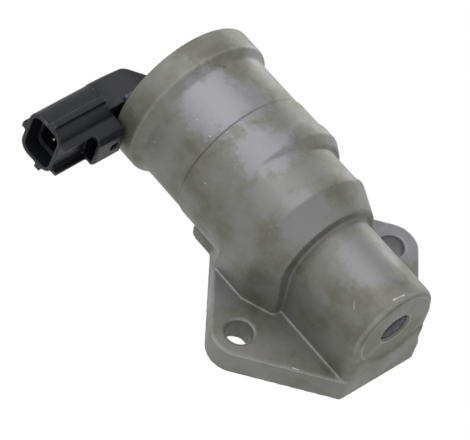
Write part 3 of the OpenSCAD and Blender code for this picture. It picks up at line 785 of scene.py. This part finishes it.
@dataclass
class Casting:
    """The aluminium housing, with cast fillets outside and crisp machined faces.

    Lengths are in millimetres. Angles go round the valve's axis, in degrees,
    from 0 at the far side to 90 at the top.
    """

    pitch: float = 0.36
    rounds: int = 14
    triangles: int = 195000
    # How far each kind of surface relaxes.
    skin_share: float = 0.14
    wall_share: float = 0.7
    bolt_share: float = 0.11
    bore_share: float = 0.09
    wall_top: float = 3.0
    bolt_spacing: float = 62.0
    bolt_clear_r: float = 5.4
    bolt_clear_z: float = 12.0
    bore_clear_r: float = 7.5
    nose_x: float = 30.4
    foot_front_x: float = 28.0
    nose_r: float = 14.9
    body_r: float = 24.4
    body_gap: float = 0.02
    # The small step on the barrel: its station, height, inner radius and length.
    step_x: float = -42.5
    step_h: float = 0.1
    step_inner_r: float = 22.0
    step_l: float = 2.0
    # The radius of a circle and how far it is set off the axis.
    neck: tuple[float, float] = (22.88, 2.15)
    hump_front: tuple[float, float] = (18.2, 0.8)
    shift_angle: float = 166.0
    hump_stations: tuple[float, float, float] = (-13.2, -9.2, -0.7)
    # The shoulder where the hump meets the nose.
    front_x: float = -0.5
    front_low_x: float = 0.85
    front_low_y: float = 15.3
    front_low_z: float = 11.0
    front_reach: float = 8.0
    overlap: float = 0.01
    outer_r: float = 30.0
    wall_r: float = 15.5
    sides: int = 160

    def softness(self, points: np.ndarray) -> np.ndarray:
        """How far each point may relax: more along the flange's walls, less on machined faces.

        Args:
            points: the mesh's points in millimetres.

        Returns:
            One share from 0 to 1 for each point.
        """
        x, y, z = points.T
        share = np.full(len(points), self.skin_share)
        share[z < self.wall_top] = self.wall_share
        beside_bolt = np.hypot(x, np.abs(y) - self.bolt_spacing / 2)
        share[(beside_bolt < self.bolt_clear_r) & (z < self.bolt_clear_z)] = self.bolt_share
        from_axis = np.hypot(y, z - AXIS_Z)
        share[(from_axis > self.bore_clear_r) & (x > self.foot_front_x)] = self.wall_share
        share[(from_axis < self.bore_clear_r) & (x > self.nose_x)] = self.bore_share
        return share

    @staticmethod
    def solid(
        name: str, points_mm: Sequence[Numbers], faces: Sequence[Sequence[int]]
    ) -> bpy.types.Object:
        """Makes a closed helper solid.

        Args:
            name: the solid's name.
            points_mm: its points in millimetres.
            faces: the points of each face.

        Returns:
            The new solid.
        """
        mesh = bpy.data.meshes.new(name)
        mesh.from_pydata([Vector(point) * MM for point in points_mm], [], faces)
        body = bpy.data.objects.new(name, mesh)
        bpy.context.scene.collection.objects.link(body)
        return body

    @staticmethod
    def round_point(station: float, radius: float, turn: float) -> tuple[float, float, float]:
        """The point at a station, a radius and an angle in radians."""
        return station, radius * math.cos(turn), AXIS_Z + radius * math.sin(turn)

    def tube(
        self, name: str, rings: Sequence[tuple[float, Callable[[float], float]]]
    ) -> bpy.types.Object:
        """Makes a closed tube through rings about the valve's axis.

        Args:
            name: the solid's name.
            rings: each ring's station, and its radius as a function of the angle.
                The last ring joins the first.

        Returns:
            The new solid.
        """
        points, faces = [], []
        for station, radius in rings:
            for k in range(self.sides):
                angle = 360 * k / self.sides
                points.append(self.round_point(station, radius(angle), math.radians(angle)))
        count = len(rings)
        for i in range(count):
            here, there = i * self.sides, (i + 1) % count * self.sides
            for k in range(self.sides):
                n = (k + 1) % self.sides
                faces.append((here + k, here + n, there + n, there + k))
        return self.solid(name, points, faces)

    def shifted(self, circle: tuple[float, float]) -> Callable[[float], float]:
        """The radius of a circle set off the axis and held inside the body.

        Args:
            circle: its radius and how far it is set off.

        Returns:
            A function from an angle to the distance from the axis.
        """
        radius, offset = circle
        most = self.body_r - self.body_gap

        def reach(angle: float) -> float:
            """Distance from the axis at an angle."""
            return min(most, radius + offset * math.cos(math.radians(angle - self.shift_angle)))

        return reach

    @staticmethod
    def level(radius: float) -> Callable[[float], float]:
        """The same radius at every angle."""
        return lambda _: radius

    def cut(self, piece: bpy.types.Object, cutter: bpy.types.Object) -> None:
        """Takes the cutter's solid out of the piece and removes the cutter.

        Args:
            piece: the object that loses material.
            cutter: the solid to take out.
        """
        boolean = piece.modifiers.new("cut", "BOOLEAN")
        boolean.operation = "DIFFERENCE"
        boolean.solver = "EXACT"
        boolean.object = cutter
        SoftenedPiece.settle(piece)
        bpy.data.objects.remove(cutter)

    def upper_cutter(self) -> bpy.types.Object:
        """Makes the half ring that flattens the shoulder above the axis.

        Returns:
            The cutter.
        """
        steps = self.sides // 2
        points = [
            self.round_point(station, radius, math.pi * k / steps)
            for station in (self.front_x, self.front_reach)
            for radius in (self.nose_r, self.outer_r)
            for k in range(steps + 1)
        ]
        row = steps + 1
        faces: list[tuple[int, ...]] = []
        for k in range(steps):
            faces.append((k, k + 1, row + k + 1, row + k))
            faces.append((2 * row + k, 3 * row + k, 3 * row + k + 1, 2 * row + k + 1))
            faces.append((k, 2 * row + k, 2 * row + k + 1, k + 1))
            faces.append((row + k, row + k + 1, 3 * row + k + 1, 3 * row + k))
        faces.append((0, row, 3 * row, 2 * row))
        faces.append((steps, 2 * row + steps, 3 * row + steps, row + steps))
        return self.solid("upper cutter", points, faces)

    def side_cutter(self, side: int) -> bpy.types.Object:
        """Makes the block that flattens the shoulder beside the nose, below the axis.

        Args:
            side: 1 for the far side and -1 for the near one.

        Returns:
            The cutter.
        """
        levels = (
            (self.front_low_z, self.front_low_x, self.front_low_y),
            (AXIS_Z + self.overlap, self.front_x, self.nose_r),
        )
        far_x, far_y = self.front_reach, self.outer_r
        corners = [
            (x, side * y, z)
            for z, near_x, near_y in levels
            for x, y in ((near_x, near_y), (far_x, near_y), (far_x, far_y), (near_x, far_y))
        ]
        quads = [(0, 3, 2, 1), (4, 5, 6, 7), (0, 1, 5, 4), (1, 2, 6, 5), (2, 3, 7, 6), (3, 0, 4, 7)]
        if side < 0:
            quads = [tuple(reversed(quad)) for quad in quads]
        return self.solid("side cutter", corners, quads)

    def fillers(self) -> list[bpy.types.Object]:
        """Makes the solids that carry the neck into the hump and sharpen the small step.

        Returns:
            The solids.
        """
        rear, top, front = self.hump_stations
        neck, tip = self.shifted(self.neck), self.shifted(self.hump_front)
        inner = self.level(self.wall_r)
        hump = [(rear, inner), (rear, neck), (top, neck), (front, tip), (front, inner)]
        start, end = self.step_x, self.step_x + self.step_l
        low, body = self.level(self.body_r - self.step_h), self.level(self.body_r)
        under = self.level(self.step_inner_r)
        top_start = start + self.step_h
        step = [(start, under), (start, low), (top_start, body), (end, body), (end, under)]
        return [self.tube("neck to cone", hump), self.tube("crisp step", step)]

    def prepare(self, piece: bpy.types.Object) -> None:
        """Cuts the hump's front and adds the fillers, before the even pitch joins them.

        Args:
            piece: the copy of the housing.
        """
        for cutter in (self.upper_cutter(), self.side_cutter(-1), self.side_cutter(1)):
            self.cut(piece, cutter)
        for filler in self.fillers():
            both = [piece, filler]
            with bpy.context.temp_override(active_object=piece, selected_editable_objects=both):
                bpy.ops.object.join()

    def build(self, workshop: Workshop) -> None:
        """Builds the casting.

        Args:
            workshop: where its material comes from.
        """
        SoftenedPiece(
            "housing", "cast_housing", Slot.CAST_ALUMINIUM, self.pitch, self.rounds, self.triangles,
            softness=self.softness, prepare=self.prepare,
        ).build(workshop)


@dataclass(frozen=True)
class Lean:
    """The slight lean of the moulded connector, which grows from the arm to the mouth.

    The arm's and the mouth's stations are where each part of the lean starts and is full.
    """

    pivot_mm: tuple[float, float, float] = (-78.6, -50.8, 26.3)
    turn_deg: tuple[float, float, float] = (-4.2, 3.4, 4.3)
    shift_mm: tuple[float, float, float] = (0.06, 0.19, -0.21)
    scale: float = 0.97
    arm_y: tuple[float, float] = (-15.0, -28.0)
    mouth_y: tuple[float, float] = (-38.0, -46.0)

    @staticmethod
    def ramp(value: np.ndarray, ends: tuple[float, float]) -> np.ndarray:
        """A smooth rise from 0 at the first end to 1 at the second.

        Args:
            value: one number for each point.
            ends: where the rise starts and where it is full.

        Returns:
            The rise at each point.
        """
        t = np.clip((value - ends[0]) / (ends[1] - ends[0]), 0, 1)
        return t * t * (3 - 2 * t)

    def moved(self, points: np.ndarray) -> np.ndarray:
        """Leans the straight connector.

        Args:
            points: the mesh's points in millimetres.

        Returns:
            Where each point goes.
        """
        turn = Vector(math.radians(a) for a in self.turn_deg)
        matrix = np.array(Matrix.Rotation(turn.length, 3, turn.normalized())) * self.scale
        pivot = np.array(self.pivot_mm)
        change = (points - pivot) @ matrix.T + pivot + np.array(self.shift_mm) - points
        along = points[:, 1]
        share = self.ramp(along, self.arm_y)
        change *= share[:, None]
        change[:, 1] *= self.ramp(along, self.mouth_y)
        return points + change


@dataclass
class Connector:
    """The black rear cover with its arm and connector, its blades, and the sealant round it."""

    lean: Lean = Lean()
    cover_pitch: float = 0.28
    blade_pitch: float = 0.12
    sealant_pitch: float = 0.3

    def build(self, workshop: Workshop) -> None:
        """Builds the cover, the blades and the sealant.

        Args:
            workshop: where their materials come from.
        """
        SoftenedPiece(
            "connector_cover", "moulded_cover", Slot.CONNECTOR_PLASTIC, self.cover_pitch,
            rounds=2, triangles=190000, moved=self.lean.moved,
        ).build(workshop)
        for node, name in (("upper_terminal", "upper_blade"), ("lower_terminal", "lower_blade")):
            SoftenedPiece(
                node, name, Slot.TERMINAL_PLATE, self.blade_pitch,
                rounds=1, triangles=12000, moved=self.lean.moved,
            ).build(workshop)
        SoftenedPiece(
            "cover_sealant", "poured_sealant", Slot.REAR_SEALANT, self.sealant_pitch,
            rounds=12, triangles=60000,
        ).build(workshop)


@dataclass
class Nose:
    """The drop of sealant in the nose."""

    pitch: float = 0.12

    def build(self, workshop: Workshop) -> None:
        """Builds the drop.

        Args:
            workshop: where its material comes from.
        """
        SoftenedPiece(
            "nose_sealant", "nose_drop", Slot.NOSE_SEALANT, self.pitch, rounds=6, triangles=30000
        ).build(workshop)


@dataclass(frozen=True)
class Softbox:
    """A square lamp that faces the object.

    Its way is given by the camera's own right, up and backward directions.
    """

    name: str
    way: tuple[float, float, float]
    distance_m: float
    size_m: float
    watts: float
    target_mm: tuple[float, float, float] = (0.0, 0.0, 0.0)


@dataclass
class Studio:
    """The pale floor, the soft light and the camera."""

    camera_mm: tuple[float, float, float] = (285.54, -445.02, 686.43)
    right: tuple[float, float, float] = (0.61786, 0.75988, 0.20207)
    up: tuple[float, float, float] = (-0.69525, 0.40793, 0.5918)
    back: tuple[float, float, float] = (0.36727, -0.50613, 0.78035)
    lens_mm: float = 215.55
    sensor_mm: float = 36.0
    clip_m: tuple[float, float] = (0.01, 20.0)
    floor_size_m: float = 4.0
    floor_gap_m: float = 0.0002
    floor_colour: str = "#dedede"
    sky_level: float = 0.48
    lamps: tuple[Softbox, ...] = (
        Softbox("top softbox", (-0.25, 1.0, 0.75), 0.9, 0.9, 3.5),
        Softbox("rim softbox", (1.0, 0.82, -1.55), 0.4, 0.22, 2.7, (-55.0, 0.0, AXIS_Z)),
        Softbox("front softbox", (0.3, -0.8, 1.0), 0.9, 0.9, 0.7),
    )

    def camera(self) -> None:
        """Sets up the photograph's viewpoint."""
        data = bpy.data.cameras.new("camera")
        data.lens = self.lens_mm
        data.sensor_width = self.sensor_mm
        data.sensor_fit = "HORIZONTAL"
        data.clip_start, data.clip_end = self.clip_m
        camera = bpy.data.objects.new("camera", data)
        turn = Matrix((self.right, self.up, self.back)).transposed().to_4x4()
        camera.matrix_world = Matrix.Translation(Vector(self.camera_mm) * MM) @ turn
        bpy.context.scene.collection.objects.link(camera)
        bpy.context.scene.camera = camera

    def lamp(self, box: Softbox) -> None:
        """Adds a square softbox.

        Args:
            box: where it stands, its size and its power.
        """
        data = bpy.data.lights.new(box.name, "AREA")
        data.shape = "SQUARE"
        data.size = box.size_m
        data.energy = box.watts
        right, up, back = box.way
        way = Vector(self.right) * right + Vector(self.up) * up + Vector(self.back) * back
        lamp = bpy.data.objects.new(box.name, data)
        lamp.location = Vector(box.target_mm) * MM + way.normalized() * box.distance_m
        lamp.rotation_euler = way.to_track_quat("Z", "Y").to_euler()
        bpy.context.scene.collection.objects.link(lamp)

    def world(self) -> None:
        """White to the camera and to gloss, softer for the light that falls on the object."""
        world = bpy.data.worlds.new("studio")
        world.use_nodes = True
        bpy.context.scene.world = world
        tree = world.node_tree
        back = tree.nodes["Background"]
        rays = tree.nodes.new("ShaderNodeLightPath").outputs
        seen = tree.nodes.new("ShaderNodeMath")
        seen.operation = "ADD"
        seen.use_clamp = True
        tree.links.new(rays["Is Camera Ray"], seen.inputs[0])
        tree.links.new(rays["Is Glossy Ray"], seen.inputs[1])
        level = tree.nodes.new("ShaderNodeMapRange")
        level.inputs["To Min"].default_value = self.sky_level
        level.inputs["To Max"].default_value = 1.0
        tree.links.new(seen.outputs[0], level.inputs["Value"])
        back.inputs["Color"].default_value = WHITE
        tree.links.new(level.outputs["Result"], back.inputs["Strength"])

    def floor(self) -> None:
        """A pale floor that the camera and gloss see as plain white."""
        half, drop = self.floor_size_m / 2, -self.floor_gap_m
        mesh = bpy.data.meshes.new("floor")
        sides = ((-half, -half), (half, -half), (half, half), (-half, half))
        mesh.from_pydata([(x, y, drop) for x, y in sides], [], [(0, 1, 2, 3)])
        floor = bpy.data.objects.new("floor", mesh)
        bpy.context.scene.collection.objects.link(floor)
        shader = Shader("pale floor")
        rays = shader.tree.nodes.new("ShaderNodeLightPath").outputs
        seen = shader.larger(rays["Is Camera Ray"], rays["Is Glossy Ray"])
        path = shader.larger(seen, rays["Is Transmission Ray"])
        matt = shader.add("ShaderNodeBsdfDiffuse", inputs={"Color": linear(self.floor_colour)})
        white = shader.add("ShaderNodeEmission", inputs={"Color": WHITE, "Strength": 1.0})
        both = shader.add("ShaderNodeMixShader", inputs={0: path, 1: matt, 2: white})
        shader.tree.links.new(both, shader.output.inputs["Surface"])
        floor.data.materials.append(shader.material)

    def build(self) -> None:
        """Builds the studio."""
        self.camera()
        self.world()
        self.floor()
        for box in self.lamps:
            self.lamp(box)
        bpy.context.scene.view_settings.view_transform = "Standard"


def dress_nodes(workshop: Workshop) -> None:
    """Gives every CAD node that still shows its finish, by the record's slots.

    Args:
        workshop: where the materials come from.
    """
    slots = {row["node"]: Slot(row["material_slot"]) for row in frame["record"]["subparts"]}
    for name, node in frame["nodes"].items():
        workshop.dress(node, slots[name])
        LOG.info("%s: %s", name, slots[name].value)


def main() -> None:
    """Builds the studio and the valve in order."""
    logging.basicConfig(level=logging.INFO, format="%(name)s: %(message)s")
    workshop = Workshop()
    Studio().build()
    dress_nodes(workshop)
    Casting().build(workshop)
    Connector().build(workshop)
    Nose().build(workshop)


if __name__ == "__main__":
    main()
